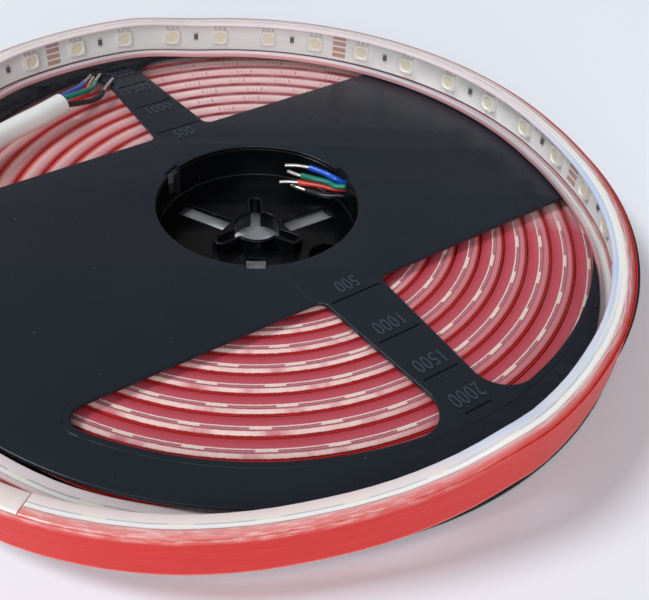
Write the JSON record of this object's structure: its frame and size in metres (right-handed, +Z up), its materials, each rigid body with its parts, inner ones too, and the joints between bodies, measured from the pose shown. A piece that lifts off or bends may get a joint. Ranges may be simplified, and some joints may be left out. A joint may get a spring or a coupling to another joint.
{
  "type": "led strip light reel",
  "caption": "Flexible light strip wound on a flat snap-together plastic reel with windowed flanges, its outer turn sprung loose on top, with a lead and bare tinned cores.",
  "frame": {"origin": "on the surface that the reel lies on, under the middle of the footprint of the reel and the strip, without the lead and the cores", "axes": "+Z up along the reel's axis, +X to the right and +Y away from the viewer of the picture"},
  "size_m": [0.21, 0.2142, 0.0323],
  "materials": {
    "reel_plastic": "satin-gloss black slate moulded plastic",
    "clear_silicone": "clear soft silicone, glossy, tinted pink by the red liner behind it",
    "board_white": "white flexible board with cream light chips and tinned copper pads",
    "red_liner": "smooth red release film with paler blotches where it has lifted",
    "cap_silicone": "milky translucent silicone",
    "jacket_white": "soft white cable jacket",
    "wire_blue": "smooth insulation",
    "wire_green": "smooth insulation",
    "wire_red": "smooth insulation",
    "wire_black": "smooth insulation",
    "tinned_wire": "bright twisted tinned wire"
  },
  "bodies": {
    "root": {"top_reel_half": "reel_plastic", "bottom_reel_half": "reel_plastic", "strip_sleeve": "clear_silicone", "strip_tape": "red_liner", "strip_board": "board_white", "outer_end_cap": "cap_silicone", "inner_end_cap": "cap_silicone", "lead_jacket": "jacket_white", "outer_core_blue": "wire_blue", "outer_core_green": "wire_green", "outer_core_red": "wire_red", "outer_core_black": "wire_black", "outer_tip_blue": "tinned_wire", "outer_tip_green": "tinned_wire", "outer_tip_red": "tinned_wire", "outer_tip_black": "tinned_wire", "inner_core_blue": "wire_blue", "inner_core_green": "wire_green", "inner_core_red": "wire_red", "inner_core_black": "wire_black", "inner_tip_blue": "tinned_wire", "inner_tip_green": "tinned_wire", "inner_tip_red": "tinned_wire", "inner_tip_black": "tinned_wire"}
  },
  "joints": []
}
